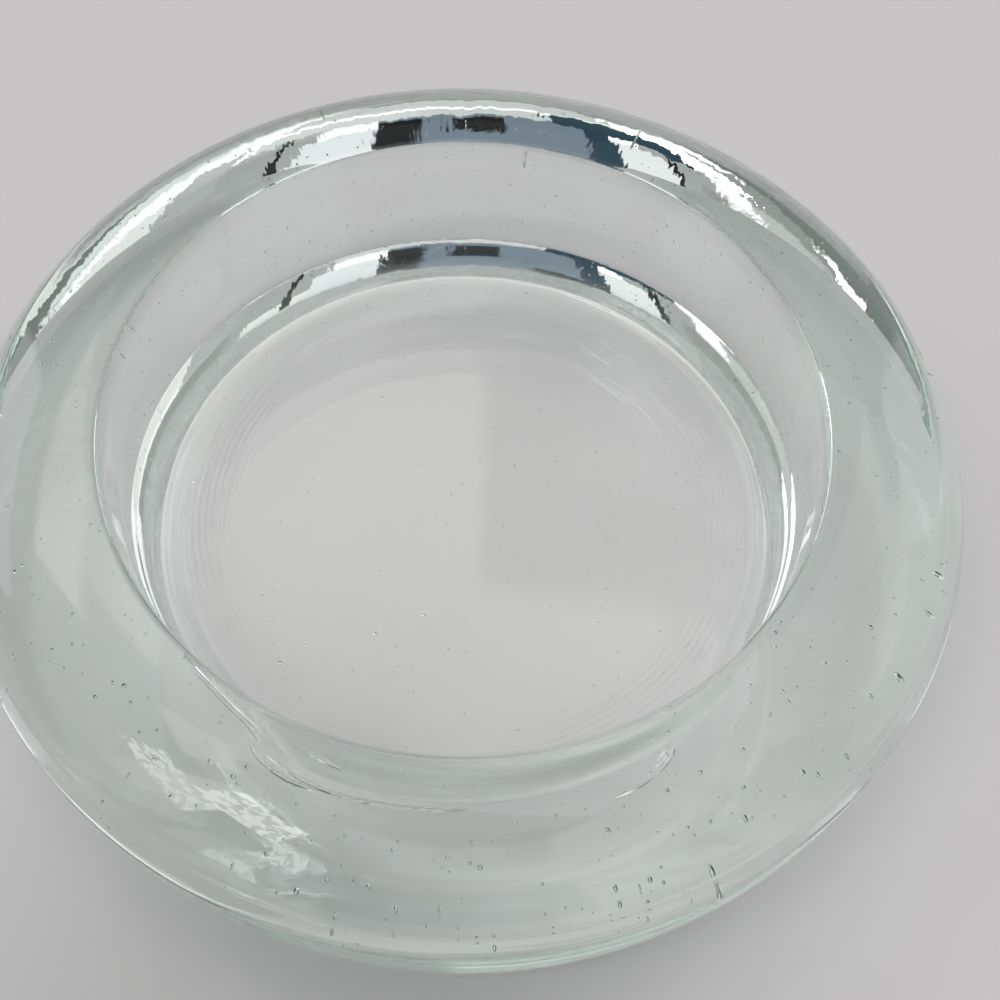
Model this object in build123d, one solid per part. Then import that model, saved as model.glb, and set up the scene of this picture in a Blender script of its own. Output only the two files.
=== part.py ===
from build123d import *
import os
from math import asin, degrees

# A heavy bowl of clear cast glass, open at the top, in which a floating candle
# burns on water. It is one piece: a broad round rim that falls on the outside
# as a full-bellied wall and on the inside as a well with a flat floor.
# Millimetres. The origin is the centre of the base, and +Z is up.

# The outside, from the flat base up to the highest ring of the rim.
rim_diameter = 127.0
height = 29.8
belly_height = 18.9       # height of the widest ring
foot_bevel = 0.8          # slanted edge between the base and the wall
wall_radius = 60.0        # curve of the wall up to the widest ring, seen in section
shoulder_radius = 9.2     # bend of the rim just above the widest ring
shoulder_width = 18.2     # how far the rim draws in from the widest ring to its top

# The inside, from the highest ring down to the floor of the well.
lip_radius = 0.8          # bend next to the highest ring
lip_width = 1.3           # inner rounding of the rim, measured level
lip_depth = 2.9           # the same rounding, measured downwards
upright_depth = 6.1       # straight part of the well's wall, below the lip
well_curve_radius = 31.8  # bend of the wall towards the floor, seen in section
floor_fillet = 2.3        # rounding between the wall and the floor
floor_thickness = 6.1     # glass between the base and the well's floor


def easing_arc(first_radius, aside, ahead):
    """Radius and turn of the arc that completes a quarter turn.

    An arc of first_radius starts the turn. Both arcs together carry the section
    aside, along the way it was heading, and ahead, along the way it ends.
    """
    rest_aside = aside - first_radius
    rest_ahead = ahead - first_radius
    widening = (rest_aside**2 + rest_ahead**2) / (2 * rest_aside)
    return first_radius + widening, degrees(asin(rest_ahead / widening))


def bowl_section():
    """Half of the bowl's section, to the right of its axis, as one face."""
    belly = rim_diameter / 2
    mouth = belly - shoulder_width - lip_width
    wall_turn = degrees(asin((belly_height - foot_bevel) / wall_radius))
    top_radius, top_turn = easing_arc(shoulder_radius, height - belly_height, shoulder_width)
    face_radius, face_turn = easing_arc(lip_radius, lip_width, lip_depth)

    # The bend and the fillet turn the same way. Where they meet, the surface has
    # this slope, so that they run into each other without a crease.
    bend_height = height - lip_depth - upright_depth
    bend_drop = bend_height - floor_thickness - floor_fillet
    slope = degrees(asin(bend_drop / (well_curve_radius - floor_fillet)))

    with BuildSketch(Plane.XZ) as section:
        with BuildLine():
            wall = CenterArc((belly - wall_radius, belly_height), wall_radius, -wall_turn, wall_turn)
            shoulder = JernArc(wall @ 1, (0, 1), shoulder_radius, 90 - top_turn)
            top = JernArc(shoulder @ 1, shoulder % 1, top_radius, top_turn)
            lip = JernArc(top @ 1, (-1, 0), lip_radius, 90 - face_turn)
            face = JernArc(lip @ 1, lip % 1, face_radius, face_turn)
            upright = Line(face @ 1, (mouth, bend_height))
            bend = JernArc(upright @ 1, (0, -1), well_curve_radius, -slope)
            fillet_arc = JernArc(bend @ 1, bend % 1, floor_fillet, slope - 90)
            floor = Line(fillet_arc @ 1, (0, floor_thickness))
            axis = Line(floor @ 1, (0, 0))
            base = Line(axis @ 1, ((wall @ 0).X - foot_bevel, 0))
            Line(base @ 1, wall @ 0)
        make_face()
    return section.sketch


def glass_bowl():
    """The bowl: its section turned once around the axis."""
    return revolve(bowl_section(), Axis.Z)


os.makedirs("parts", exist_ok=True)
bowl = glass_bowl()
bowl.label = "glass_bowl"
export_step(bowl, "parts/glass_bowl.step")
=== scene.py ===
"""A bowl of clear cast glass for a floating candle, on a pale table in a bright room."""

import math
import random

import bmesh
import bpy
from mathutils import Matrix, Vector, noise
from mathutils.bvhtree import BVHTree


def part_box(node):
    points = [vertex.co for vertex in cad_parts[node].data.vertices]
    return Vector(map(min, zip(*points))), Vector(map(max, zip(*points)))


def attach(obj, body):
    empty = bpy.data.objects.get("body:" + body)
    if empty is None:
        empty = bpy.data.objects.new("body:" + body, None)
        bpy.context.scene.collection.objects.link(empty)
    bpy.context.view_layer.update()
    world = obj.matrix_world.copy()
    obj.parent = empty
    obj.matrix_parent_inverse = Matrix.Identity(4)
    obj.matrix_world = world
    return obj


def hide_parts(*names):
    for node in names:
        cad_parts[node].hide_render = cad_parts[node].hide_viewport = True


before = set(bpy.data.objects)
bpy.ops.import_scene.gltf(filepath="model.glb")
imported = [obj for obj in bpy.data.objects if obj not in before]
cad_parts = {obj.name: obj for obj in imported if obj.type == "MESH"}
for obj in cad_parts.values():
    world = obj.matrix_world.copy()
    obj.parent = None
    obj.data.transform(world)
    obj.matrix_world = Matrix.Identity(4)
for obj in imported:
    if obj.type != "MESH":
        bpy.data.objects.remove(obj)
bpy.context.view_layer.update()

MM = 0.001

# The bowl's section, in millimetres at the CAD's nominal size. The frame gives
# the radius and the height, so every other length is scaled with them.
NOMINAL_RADIUS = 63.5
BELLY_HEIGHT = 18.9
FOOT_BEVEL = 0.8
WALL_RADIUS = 60.0
SHOULDER_RADIUS = 9.2
SHOULDER_WIDTH = 18.2
LIP_RADIUS = 0.8
LIP_WIDTH = 1.3
LIP_DEPTH = 2.9
UPRIGHT_DEPTH = 6.1
WELL_CURVE_RADIUS = 31.8
FLOOR_FILLET = 2.3
FLOOR_THICKNESS = 6.1

# The glass.
GLASS_IOR = 1.51
TINT_COLOUR = (0.67, 0.81, 0.75)
TINT_DENSITY = 10.0       # per metre

# The unevenness of its surface, in millimetres, and the scale of its noise per metre.
# Streaks run down the outer wall, and rings lie round the edge of the well's floor.
WAVE_HEIGHT = 0.02
WAVE_LENGTH = 11.0
STREAK_SCALE = 420
STREAK_DEPTH = 0.022
STREAK_HEIGHTS = (BELLY_HEIGHT + 1, BELLY_HEIGHT - 5)
STREAK_RADII = (46, 52)
STREAK_STRETCH = (1, 1, 0.08)
RIPPLE_SCALE = 260
RIPPLE_DEPTH = 0.007
RING_SPACING = 0.9
RING_DEPTH = 0.014
RING_INNER_EDGE = (31, 36)
RING_OUTER_EDGE = (39, 38)

# The mould's seam, a low ridge round the shoulder. Millimetres.
SEAM_HEIGHT = 24.0
SEAM_WIDTH = 0.8
SEAM_RISE = 0.08

# How many faces go round the bowl, and the angle in degrees from which an edge is sharp.
SEGMENTS = 288
SHARP_ANGLE = 20

# The well's wall stands a little wider near the floor on one side: how far, between
# which turns from the side nearest the camera, in degrees, and between which heights
# and radii it sets in. The last length is the radius up to which a point is in the well.
WIDE_SHIFT = 2.8
WIDE_START = (-38, -22)
WIDE_END = (40, 62)
WIDE_HEIGHTS = (9, 21)
WIDE_RADII = (30, 38)
WIDE_REACH = 44.2

# The table's paint, and where a painted shadow softly darkens it, in front of the bowl. Millimetres.
TABLE_COLOUR = (0.718, 0.697, 0.706)
# The colour of the painted shadow at its darkest.
TABLE_SHADOWED = (0.51, 0.505, 0.505)
TABLE_ROUGHNESS = 0.7
TABLE_SHINE = 0.2
TABLE_HALF_WIDTH = 900
TABLE_TOP = -0.06         # just under the bowl, so that a film of air lies between
MOTTLE_SCALE = 60         # per metre
MOTTLE_SHARE = 0.08
# The middle of the painted shadow, and how far it reaches.
SHADOW_PLACE = (-18, -78, 0)
SHADOW_REACH = 85

# The larger seed bubbles, at their pixels in the photograph.
BUBBLE_PIXELS = [
    (52, 650), (72, 645), (8, 690), (153, 760), (171, 797), (225, 792), (233, 777), (266, 854),
    (296, 892), (393, 850), (447, 857), (472, 843), (470, 863), (480, 867), (368, 887), (607, 829),
    (623, 806), (667, 790), (615, 888), (650, 880), (620, 905), (745, 818), (743, 750), (803, 773),
    (818, 775), (846, 756), (825, 664), (783, 692), (788, 702), (770, 715), (775, 647), (810, 649),
    (898, 678), (720, 899), (700, 772), (15, 572), (938, 575), (930, 615), (602, 609), (597, 623),
    (617, 652), (617, 679), (272, 619), (280, 663), (352, 671), (375, 634), (424, 616), (95, 697),
    (124, 686), (131, 702), (197, 806), (210, 761), (237, 784), (247, 767), (656, 713), (775, 633),
    (776, 620), (896, 615), (871, 628), (900, 678), (797, 688), (744, 788), (668, 792), (648, 903),
]
SMALL_BUBBLES = 800

# How far into the glass the larger ones lie, as a share of the way that the camera sees
# through it, and the radius of both kinds. Millimetres.
BUBBLE_SEED = 7
LARGE_DEPTHS = (0.2, 0.5)
LARGE_RADII = (0.20, 0.32)
SMALL_RADII = (0.09, 0.22)
BUBBLE_CLEARANCE = 0.2    # to the surface of the glass
SECTION_CLEARANCE = 0.8   # to the section's points
SCATTER_HEIGHT = 31       # up to which places are tried

# Folds in the glass just under its surface, by their course in the photograph's pixels.
FOLDS = [
    [(180, 648), (200, 668), (213, 682), (236, 706), (256, 724), (270, 745)],
    [(186, 662), (206, 682), (226, 703), (246, 722), (258, 738), (262, 752)],
    [(247, 738), (256, 756), (272, 770), (288, 780), (308, 788), (330, 796)],
    [(262, 752), (282, 766), (300, 779), (325, 790), (352, 799), (400, 807), (440, 810), (500, 809)],
    [(285, 740), (308, 752), (330, 764), (352, 774)],
    [(606, 802), (640, 786), (662, 768), (672, 754), (676, 742)],
    [(652, 770), (664, 756), (668, 745)],
]
FOLD_DEPTH = 1.1          # millimetres below the surface
FOLD_WIDTH = 0.42         # millimetres
FOLD_STEPS = 4            # from one of the course's points to the next
FOLD_SIDES = 6
FOLD_TIP = 0.15           # width of its ends, as a share of the whole
FOLD_SHAPE = (1.2, 0.8)   # level and upright share of the width

# The photograph's camera: its focal length and centre in pixels of a picture of
# 1000 by 1000, its place in millimetres, and its direction in degrees.
PICTURE = 1000
FOCAL_PIXELS = 1274
CENTRE_PIXEL = (492.2, 504.6)
CAMERA_PLACE = (0, -89.94, 157.80)
CAMERA_YAW = 2.38
CAMERA_PITCH = 59.35
CAMERA_ROLL = -2.20
RAY_START = 0.01          # millimetres past a surface that a ray has just crossed


def arc(centre, radius, first, last, steps):
    """Points of an arc of a circle between two angles, in degrees."""
    turns = [math.radians(first + (last - first) * i / steps) for i in range(steps + 1)]
    return [(centre[0] + radius * math.cos(t), centre[1] + radius * math.sin(t)) for t in turns]


def level(first, last, height, steps):
    """Points of a level line between two distances from the axis."""
    return [(first + (last - first) * i / steps, height) for i in range(steps + 1)]


def easing_arc(first_radius, aside, ahead):
    """Radius and turn, in degrees, of the arc that completes a quarter turn.

    An arc of first_radius starts the turn. Both arcs together carry the section
    aside, along the way it was heading, and ahead, along the way it ends.
    """
    rest_aside = aside - first_radius
    rest_ahead = ahead - first_radius
    widening = (rest_aside**2 + rest_ahead**2) / (2 * rest_aside)
    return first_radius + widening, math.degrees(math.asin(rest_ahead / widening))


def bowl_section(radius, height):
    """The section, from the middle of the underside round to the middle of the well."""
    crown = radius - SHOULDER_WIDTH
    mouth = crown - LIP_WIDTH
    wall_turn = math.degrees(math.asin((BELLY_HEIGHT - FOOT_BEVEL) / WALL_RADIUS))
    wall_foot = radius - WALL_RADIUS * (1 - math.cos(math.radians(wall_turn)))
    top_radius, top_turn = easing_arc(SHOULDER_RADIUS, height - BELLY_HEIGHT, SHOULDER_WIDTH)
    face_radius, face_turn = easing_arc(LIP_RADIUS, LIP_WIDTH, LIP_DEPTH)
    bend_height = height - LIP_DEPTH - UPRIGHT_DEPTH
    bend_axis = mouth - WELL_CURVE_RADIUS
    drop = bend_height - FLOOR_THICKNESS - FLOOR_FILLET
    slope = math.asin(drop / (WELL_CURVE_RADIUS - FLOOR_FILLET))
    fillet_axis = bend_axis + (WELL_CURVE_RADIUS - FLOOR_FILLET) * math.cos(slope)
    slope = math.degrees(slope)
    pieces = [
        level(0, wall_foot - FOOT_BEVEL, 0, 16),
        [(wall_foot - FOOT_BEVEL, 0), (wall_foot, FOOT_BEVEL)],
        arc((radius - WALL_RADIUS, BELLY_HEIGHT), WALL_RADIUS, -wall_turn, 0, 24),
        arc((radius - SHOULDER_RADIUS, BELLY_HEIGHT), SHOULDER_RADIUS, 0, 90 - top_turn, 60),
        arc((crown, height - top_radius), top_radius, 90 - top_turn, 90, 14),
        arc((crown, height - LIP_RADIUS), LIP_RADIUS, 90, 180 - face_turn, 12),
        arc((mouth + face_radius, height - LIP_DEPTH), face_radius, 180 - face_turn, 180, 8),
        [(mouth, bend_height + UPRIGHT_DEPTH * (1 - i / 6)) for i in range(7)],
        arc((bend_axis, bend_height), WELL_CURVE_RADIUS, 0, -slope, 16),
        arc((fillet_axis, FLOOR_THICKNESS + FLOOR_FILLET), FLOOR_FILLET, -slope, -90, 14),
        level(fillet_axis, 0, FLOOR_THICKNESS, 16),
    ]
    points = []
    for piece in pieces:
        points += piece[1:] if points else piece
    return points


def turned(points):
    """Vertices and faces of the section turned round the axis, closed at its two ends."""
    rings = points[1:-1]
    vertices = [(0, 0, points[0][1])]
    for r, z in rings:
        for j in range(SEGMENTS):
            a = math.tau * j / SEGMENTS
            vertices.append((r * math.cos(a), r * math.sin(a), z))
    vertices.append((0, 0, points[-1][1]))
    last = len(vertices) - 1

    def at(ring, j):
        return 1 + ring * SEGMENTS + j % SEGMENTS

    faces = []
    for j in range(SEGMENTS):
        faces.append((0, at(0, j + 1), at(0, j)))
        for i in range(len(rings) - 1):
            faces.append((at(i, j), at(i, j + 1), at(i + 1, j + 1), at(i + 1, j)))
        faces.append((at(len(rings) - 1, j), at(len(rings) - 1, j + 1), last))
    return vertices, faces


def smooth_step(value, first, last):
    """From 0 to 1, as the value goes from the first to the last."""
    share = min(max((value - first) / (last - first), 0), 1)
    return share * share * (3 - 2 * share)


def seam_rise(r, z):
    """How far the mould's seam stands out of the shoulder."""
    off = abs(z - SEAM_HEIGHT) / (SEAM_WIDTH / 2)
    if r < NOMINAL_RADIUS - SHOULDER_RADIUS or off > 1:
        return 0
    return SEAM_RISE * (1 + math.cos(math.pi * off)) / 2


def waved(point):
    """A point of the surface with the wider part of the well, the seam and the cast's waves."""
    p = Vector(point)
    r = math.hypot(p.x, p.y)
    if 1 < r < WIDE_REACH and p.z > FLOOR_THICKNESS - 0.1:
        turn = math.degrees(math.atan2(p.x, -p.y))
        along = smooth_step(turn, *WIDE_START) - smooth_step(turn, *WIDE_END)
        upwards = 1 - smooth_step(p.z, *WIDE_HEIGHTS)
        outwards = smooth_step(r, *WIDE_RADII)
        p *= 1 + WIDE_SHIFT * along * upwards * outwards / r
        p.z = point[2]
    away = Vector((p.x, p.y, p.z - BELLY_HEIGHT))
    swell = (1 + noise.noise(p / WAVE_LENGTH)) / 2
    return p + away.normalized() * (seam_rise(r, p.z) - WAVE_HEIGHT * swell)


def ball(subdivisions):
    """Vertices and faces of a small ball of radius 1 whose faces look inwards."""
    shape = bmesh.new()
    bmesh.ops.create_icosphere(shape, subdivisions=subdivisions, radius=1)
    vertices = [v.co.copy() for v in shape.verts]
    faces = [tuple(v.index for v in reversed(f.verts)) for f in shape.faces]
    shape.free()
    return vertices, faces


def add_bubble(vertices, faces, place, radius, shape):
    """One gas bubble in the glass: a hollow, so its faces look into it."""
    start = len(vertices)
    vertices += [tuple(place + v * radius) for v in shape[0]]
    faces += [tuple(start + i for i in f) for f in shape[1]]


def refracted(ray, normal, ratio):
    """The way a ray goes on after it enters the glass."""
    if normal.dot(ray) > 0:
        normal = -normal
    cosine = -normal.dot(ray)
    return ratio * ray + (ratio * cosine - math.sqrt(1 - ratio**2 * (1 - cosine**2))) * normal


def view_into_glass(tree, pixel):
    """Where the camera's ray at a pixel enters the glass, its way on, and how far it goes."""
    right, up, forward = camera_axes()
    aside = (pixel[0] - CENTRE_PIXEL[0]) / FOCAL_PIXELS
    down = (pixel[1] - CENTRE_PIXEL[1]) / FOCAL_PIXELS
    ray = (forward + aside * right - down * up).normalized()
    entry, normal, _, _ = tree.ray_cast(Vector(CAMERA_PLACE), ray)
    if entry is None:
        return None
    onwards = refracted(ray, normal, 1 / GLASS_IOR)
    _, _, _, depth = tree.ray_cast(entry + onwards * RAY_START, onwards)
    return entry, onwards, depth or 1


def bubble_place(tree, pixel, share):
    """The place of a bubble that the camera sees at a pixel, some way into the glass."""
    view = view_into_glass(tree, pixel)
    return view and view[0] + view[1] * view[2] * share


def under_surface(tree, pixel, depth):
    """The place that the camera sees at a pixel, at a depth below the glass's surface."""
    view = view_into_glass(tree, pixel)
    return view and view[0] + view[1] * depth


def is_inside(points, r, z, clearance):
    """Whether a place in the section is in the glass and clear of its surface."""
    inside = False
    for (r1, z1), (r2, z2) in zip(points, points[1:]):
        if (z1 > z) != (z2 > z) and r < r1 + (z - z1) * (r2 - r1) / (z2 - z1):
            inside = not inside
        if math.hypot(r - (r1 + r2) / 2, z - (z1 + z2) / 2) < clearance:
            return False
    return inside


def camera_axes():
    """The camera's right, up and forward directions."""
    yaw, pitch, roll = (math.radians(a) for a in (CAMERA_YAW, CAMERA_PITCH, CAMERA_ROLL))
    forward = Vector((math.sin(yaw) * math.cos(pitch), math.cos(yaw) * math.cos(pitch),
                      -math.sin(pitch)))
    level_right = Vector((math.cos(yaw), -math.sin(yaw), 0))
    level_down = forward.cross(level_right)
    right = math.cos(roll) * level_right + math.sin(roll) * level_down
    down = -math.sin(roll) * level_right + math.cos(roll) * level_down
    return right, -down, forward


def add_camera():
    data = bpy.data.cameras.new("camera")
    data.sensor_width = 36
    data.lens = data.sensor_width * FOCAL_PIXELS / PICTURE
    data.shift_x = 0.5 - CENTRE_PIXEL[0] / PICTURE
    data.shift_y = CENTRE_PIXEL[1] / PICTURE - 0.5
    data.clip_start = 0.01
    camera = bpy.data.objects.new("camera", data)
    bpy.context.scene.collection.objects.link(camera)
    right, up, forward = camera_axes()
    turn = Matrix((right, up, -forward)).transposed().to_4x4()
    camera.matrix_world = Matrix.Translation(Vector(CAMERA_PLACE) * MM) @ turn
    bpy.context.scene.camera = camera


class Nodes:
    """Adds nodes to a material or a world and joins them."""

    def __init__(self, tree):
        self.tree = tree

    def join(self, value, socket):
        if isinstance(value, bpy.types.NodeSocket):
            self.tree.links.new(value, socket)
        elif isinstance(value, tuple) and len(socket.default_value) == 4:
            socket.default_value = (*value, 1)
        else:
            socket.default_value = value

    def add(self, kind, inputs, **settings):
        """A node with its settings, and its inputs by name or number."""
        node = self.tree.nodes.new("ShaderNode" + kind)
        for name, value in settings.items():
            setattr(node, name, value)
        for key, value in inputs.items():
            self.join(value, node.inputs[key])
        return node.outputs

    def math(self, operation, *values):
        return self.add("Math", dict(enumerate(values)), operation=operation)[0]

    def step(self, value, first, last):
        """From 0 to 1, smoothly, as the value goes from the first to the last."""
        inputs = {"Value": value, "From Min": first, "From Max": last}
        return self.add("MapRange", inputs, interpolation_type="SMOOTHSTEP")["Result"]

    def noise(self, place, scale, detail):
        return self.add("TexNoise", {"Vector": place, "Scale": scale, "Detail": detail})

    def mixed(self, share, first, second):
        return self.add("Mix", {0: share, 6: first, 7: second}, data_type="RGBA")[2]

    def bump(self, height, depth, normal=None):
        inputs = {"Height": height, "Distance": depth * MM}
        if normal:
            inputs["Normal"] = normal
        return self.add("Bump", inputs)["Normal"]

    def place(self, kind="Object"):
        return self.add("TexCoord", {})[kind]


def new_material(name):
    material = bpy.data.materials.new(name)
    material.use_nodes = True
    tree = material.node_tree
    return material, Nodes(tree), tree.nodes["Principled BSDF"]


def glass_material():
    """Clear tinted glass, with faint upright streaks, rings and ripples in its surface."""
    material, nodes, surface = new_material("cast_glass")
    surface.inputs["Base Color"].default_value = (1, 1, 1, 1)
    surface.inputs["Transmission Weight"].default_value = 1
    surface.inputs["IOR"].default_value = GLASS_IOR
    surface.inputs["Roughness"].default_value = 0
    volume = nodes.add("VolumeAbsorption", {"Color": TINT_COLOUR, "Density": TINT_DENSITY})
    output = material.node_tree.nodes["Material Output"]
    nodes.join(volume["Volume"], output.inputs["Volume"])

    place = nodes.place()
    height = nodes.add("SeparateXYZ", {0: place})[2]
    upright = nodes.add("VectorMath", {0: place, 1: STREAK_STRETCH}, operation="MULTIPLY")[0]
    level = nodes.add("VectorMath", {0: place, 1: (1, 1, 0)}, operation="MULTIPLY")[0]
    radius = nodes.add("VectorMath", {0: level}, operation="LENGTH")["Value"]
    streaks = nodes.noise(upright, STREAK_SCALE, 2)["Fac"]
    low = nodes.step(height, *(h * MM for h in STREAK_HEIGHTS))
    on_wall = nodes.math("MULTIPLY", low, nodes.step(radius, *(r * MM for r in STREAK_RADII)))
    normal = nodes.bump(nodes.math("MULTIPLY", streaks, on_wall), STREAK_DEPTH)

    inner_edge = nodes.step(radius, *(r * MM for r in RING_INNER_EDGE))
    outer_edge = nodes.step(radius, *(r * MM for r in RING_OUTER_EDGE))
    in_rings = nodes.math("MULTIPLY", inner_edge, outer_edge)
    rings = nodes.math("SINE", nodes.math("MULTIPLY", radius, math.tau / (RING_SPACING * MM)))
    normal = nodes.bump(nodes.math("MULTIPLY", rings, in_rings), RING_DEPTH, normal)

    ripples = nodes.noise(place, RIPPLE_SCALE, 2)["Fac"]
    normal = nodes.bump(ripples, RIPPLE_DEPTH, normal)
    nodes.join(normal, surface.inputs["Normal"])
    return material


def table_material():
    """Smooth pale paint, a little mottled, with a painted shadow in front of the bowl."""
    material, nodes, surface = new_material("table_paint")
    surface.inputs["Roughness"].default_value = TABLE_ROUGHNESS
    surface.inputs["Specular IOR Level"].default_value = TABLE_SHINE

    place = nodes.place()
    centre = tuple(c * MM for c in SHADOW_PLACE)
    distance = nodes.add("VectorMath", {0: place, 1: centre}, operation="DISTANCE")["Value"]
    mottle = nodes.noise(place, MOTTLE_SCALE, 4)["Fac"]
    # Painted shadow: darker towards a place in front of the bowl, with the paint's random mottle
    # added on top.
    shadow_and_mottle = nodes.step(distance, SHADOW_REACH * MM, 0)
    shadow_and_mottle = nodes.math("ADD", shadow_and_mottle, MOTTLE_SHARE / 2)
    shadow_and_mottle = nodes.math("MULTIPLY_ADD", mottle, -MOTTLE_SHARE, shadow_and_mottle)
    colour = nodes.mixed(shadow_and_mottle, TABLE_COLOUR, TABLE_SHADOWED)
    nodes.join(colour, surface.inputs["Base Color"])
    return material


def add_mesh(name, vertices, faces, material):
    mesh = bpy.data.meshes.new(name)
    mesh.from_pydata([Vector(v) * MM for v in vertices], [], faces)
    mesh.shade_smooth()
    mesh.set_sharp_from_angle(angle=math.radians(SHARP_ANGLE))
    mesh.materials.append(material)
    piece = bpy.data.objects.new(name, mesh)
    bpy.context.scene.collection.objects.link(piece)
    return piece


def add_bubbles(vertices, faces, tree, points):
    """The larger bubbles at their pixels, then the small ones scattered in the glass."""
    chance = random.Random(BUBBLE_SEED)
    shape = ball(subdivisions=2)
    for pixel in BUBBLE_PIXELS:
        place = bubble_place(tree, pixel, chance.uniform(*LARGE_DEPTHS))
        size = chance.uniform(*LARGE_RADII)
        if place and tree.find_nearest(place)[3] > size + BUBBLE_CLEARANCE:
            add_bubble(vertices, faces, place, size, shape)
    made = 0
    while made < SMALL_BUBBLES:
        r = NOMINAL_RADIUS * math.sqrt(chance.random())
        turn = chance.uniform(0, math.tau)
        z = chance.uniform(0, SCATTER_HEIGHT)
        least, most = SMALL_RADII
        size = least + (most - least) * chance.random() ** 2
        if is_inside(points, r, z, SECTION_CLEARANCE + size):
            place = Vector((r * math.cos(turn), r * math.sin(turn), z))
            if tree.find_nearest(place)[3] > size + BUBBLE_CLEARANCE:
                add_bubble(vertices, faces, place, size, shape)
                made += 1


def fold_line(tree, course):
    """Points of a fold under the glass's surface, a little smoothed."""
    points = []
    for first, last in zip(course, course[1:]):
        for i in range(FOLD_STEPS):
            pixel = [a + (b - a) * i / FOLD_STEPS for a, b in zip(first, last)]
            points.append(under_surface(tree, pixel, FOLD_DEPTH))
    points = [p for p in points if p]
    return [(a + b * 2 + c) / 4 for a, b, c in zip(points, points[1:], points[2:])]


def add_fold(vertices, faces, line):
    """A thin hollow along a line, slender at its ends."""
    start = len(vertices)
    last = len(line) - 1
    for i, point in enumerate(line):
        ahead = (line[min(i + 1, last)] - line[max(i - 1, 0)]).normalized()
        side = ahead.cross(Vector((0, 0, 1))).normalized()
        over = side.cross(ahead)
        radius = FOLD_WIDTH / 2 * (FOLD_TIP + math.sin(math.pi * i / (last + 1)) ** 0.5)
        for j in range(FOLD_SIDES):
            a = math.tau * j / FOLD_SIDES
            aside = FOLD_SHAPE[0] * math.cos(a) * side
            upwards = FOLD_SHAPE[1] * math.sin(a) * over
            vertices.append(point + radius * (aside + upwards))

    def at(i, j):
        return start + FOLD_SIDES * i + j % FOLD_SIDES

    for i in range(last):
        for j in range(FOLD_SIDES):
            faces.append((at(i, j), at(i, j + 1), at(i + 1, j + 1), at(i + 1, j)))
    faces.append(tuple(at(0, FOLD_SIDES - 1 - j) for j in range(FOLD_SIDES)))
    faces.append(tuple(at(last, j) for j in range(FOLD_SIDES)))


def add_bowl():
    low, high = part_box("glass_bowl")
    scale = (high.x - low.x) / 2 / (NOMINAL_RADIUS * MM)
    points = bowl_section(NOMINAL_RADIUS, high.z / MM / scale)
    vertices, faces = turned(points)
    vertices = [waved(v) for v in vertices]
    tree = BVHTree.FromPolygons(vertices, faces)
    add_bubbles(vertices, faces, tree, points)
    for course in FOLDS:
        add_fold(vertices, faces, fold_line(tree, course))
    bowl = add_mesh("bowl_glass", vertices, faces, glass_material())
    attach(bowl, "root")
    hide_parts("glass_bowl")


def add_table():
    corners = [(-1, -1), (1, -1), (1, 1), (-1, 1)]
    vertices = [(x * TABLE_HALF_WIDTH, y * TABLE_HALF_WIDTH, TABLE_TOP) for x, y in corners]
    table = add_mesh("table", vertices, [(0, 1, 2, 3)], table_material())


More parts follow.
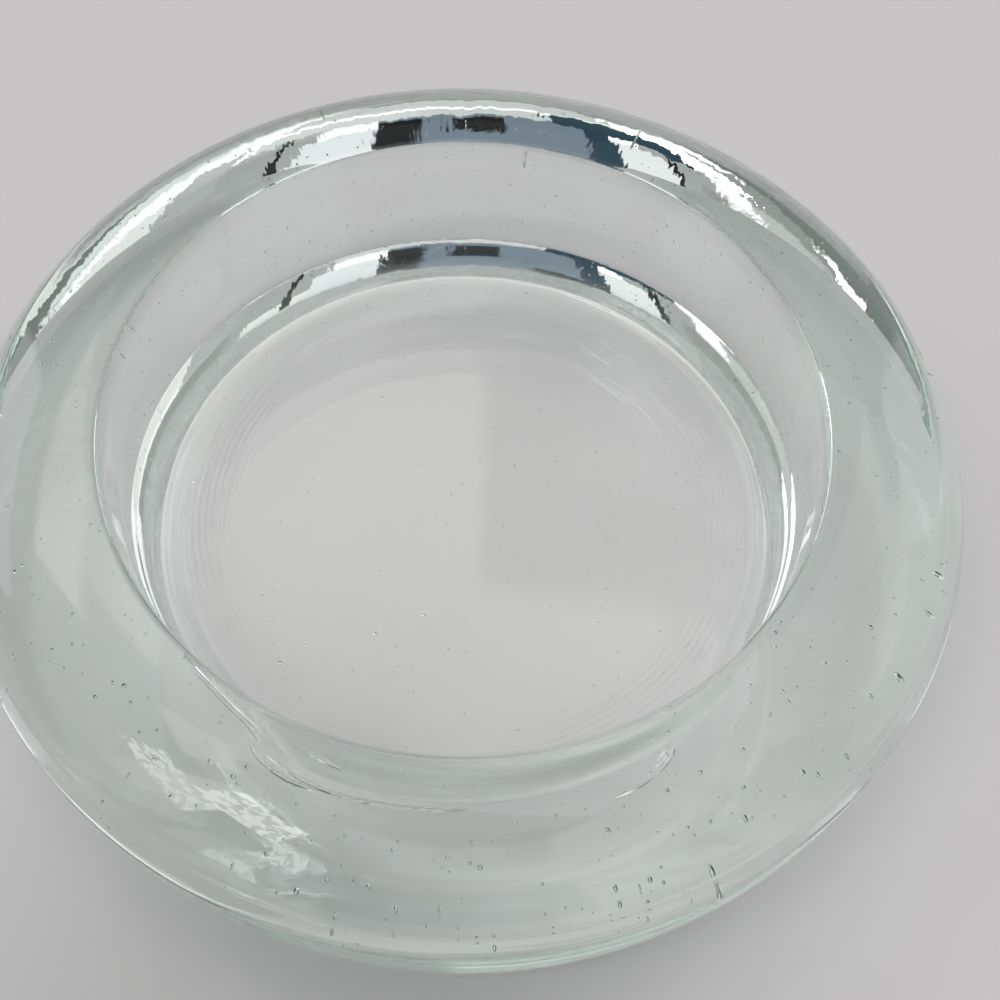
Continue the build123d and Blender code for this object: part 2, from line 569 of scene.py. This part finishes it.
# What the glass mirrors. Each part of the room lies between two azimuths and two
# elevations, in degrees, with a soft edge of some degrees. Azimuth 0 is behind the
# camera, and 90 is to its right. A broken part is light that comes through leaves.
ROOM = [
    # azimuths, elevations, soft edge, colour, broken
    ((-180, 180), (-90, 22), 12, (0.75, 0.75, 0.75), False),
    ((118, 242), (-90, 24), 10, (0.22, 0.23, 0.225), False),
    ((122, 238), (20, 44), 5, (0.14, 0.14, 0.14), False),
    ((183, 204), (14, 25), 3, (0.95, 0.95, 0.95), False),
    ((140, 178.5), (44, 63), 2, (0.50, 0.50, 0.50), False),
    ((-60, 60), (50, 74), 3, (0.74, 0.74, 0.73), False),
    ((-66, -37), (6, 50), 2, (0.46, 0.46, 0.46), False),
    ((37, 70), (6, 52), 2, (0.46, 0.46, 0.46), False),
    ((64, 84), (37, 60), 2, (0.52, 0.52, 0.52), False),
    ((66, 116), (4, 37), 4, (0.34, 0.35, 0.34), False),
    ((-116, -60), (4, 40), 4, (0.34, 0.35, 0.34), False),
    ((84, 120), (40, 53), 3, (0.95, 0.94, 0.92), False),
    ((-150, -77), (36, 50), 3, (0.62, 0.63, 0.62), False),
    ((-130, -77), (49, 65), 3, (0.37, 0.38, 0.37), False),
    ((-150, -116), (44, 55), 3, (2.4, 2.38, 2.35), False),
    ((-110, -87), (64, 71), 2, (2.6, 2.59, 2.56), False),
    ((-134, -103), (12, 35), 2, (1.7, 1.68, 1.76), False),
    ((112, 134), (12, 38), 2, (1.3, 1.29, 1.33), False),
    ((-76, -47), (53, 67), 2, (2.8, 2.78, 2.74), False),
    ((-84, -54), (52, 60), 1, (5.5, 5.5, 5.4), True),
    ((-72, -47), (58, 68), 1, (7.5, 7.5, 7.4), True),
    ((-44, -34), (46, 61), 1, (1.6, 1.6, 1.6), False),
    ((-53, -37), (18, 46), 1, (1.0, 1.0, 1.0), False),
    ((22, 41), (15, 44), 1, (0.97, 0.98, 1.0), False),
    ((41, 60), (12, 33), 1, (1.0, 1.0, 0.98), False),
    ((-37, 22), (8, 51), 1, (0.20, 0.25, 0.31), False),
    ((-62, -22), (50, 60), 1, (0.015, 0.05, 0.08), False),
    ((-37, -30), (14, 52), 1, (0.015, 0.05, 0.08), False),
    ((-33, -18), (8, 27), 1, (0.001, 0.001, 0.001), False),
    ((-9, 4), (36, 48), 2, (0.002, 0.002, 0.002), False),
    ((11, 22), (8, 49), 2, (0.001, 0.001, 0.001), False),
    ((46, 48.5), (20, 52), 0.5, (0.01, 0.01, 0.01), False),
    ((-54.5, -52), (22, 50), 0.5, (0.01, 0.01, 0.01), False),
    ((-50, 60), (75, 95), 3, (0.25, 0.25, 0.25), False),
    ((-100, -48), (71.5, 95), 1.5, (0.30, 0.30, 0.31), False),
    ((-24, 84), (58.5, 61.5), 1, (1.4, 1.4, 1.4), False),
]
CEILING = (1.34, 1.325, 1.305)
BACKDROP = (0.86, 0.855, 0.85)
WOBBLE = 1.0              # degrees by which the edges of the parts stray
WOBBLE_SCALE = 9
LEAF_SCALE = 45
LEAF_EDGE = (0.48, 0.51)  # from the noise's value that is a leaf to the one that is light


def build_room():
    world = bpy.data.worlds.new("room")
    bpy.context.scene.world = world
    world.use_nodes = True
    tree = world.node_tree
    tree.nodes.clear()

    nodes = Nodes(tree)

    def within(value, first, last, edge):
        middle, half = (first + last) / 2, (last - first) / 2
        turn = nodes.math("SUBTRACT", value, middle)
        if last > 180:
            turn = nodes.math("WRAP", turn, 180, -180)
        return nodes.step(nodes.math("ABSOLUTE", turn), half + edge / 2, half - edge / 2)

    place = nodes.place("Generated")
    x, y, z = nodes.add("SeparateXYZ", {0: place})
    wobble = nodes.add("SeparateColor", {0: nodes.noise(place, WOBBLE_SCALE, 4)["Color"]})

    def wobbled(angle, share):
        return nodes.math("MULTIPLY_ADD", nodes.math("SUBTRACT", share, 0.5), 2 * WOBBLE,
                          nodes.math("DEGREES", angle))

    azimuth = wobbled(nodes.math("ARCTAN2", x, nodes.math("MULTIPLY", y, -1)), wobble[0])
    elevation = wobbled(nodes.math("ARCSINE", z), wobble[1])
    leaves = nodes.step(nodes.noise(place, LEAF_SCALE, 6)["Fac"], *LEAF_EDGE)

    colour = CEILING
    for (left, right), (bottom, top), edge, light, broken in ROOM:
        share = within(elevation, bottom, top, edge)
        if right - left < 360:
            share = nodes.math("MULTIPLY", share, within(azimuth, left, right, edge))
        if broken:
            share = nodes.math("MULTIPLY", share, leaves)
        colour = nodes.mixed(share, colour, light)

    is_camera = nodes.add("LightPath", {})["Is Camera Ray"]
    background = nodes.add("Background", {"Color": nodes.mixed(is_camera, colour, BACKDROP)})
    nodes.add("OutputWorld", {"Surface": background[0]})


add_camera()
add_bowl()
add_table()
build_room()

scene = bpy.context.scene
scene.view_settings.view_transform = "Standard"
scene.cycles.blur_glossy = 0
scene.cycles.sample_clamp_indirect = 0
scene.cycles.max_bounces = 32
scene.cycles.transmission_bounces = 32
scene.cycles.glossy_bounces = 16
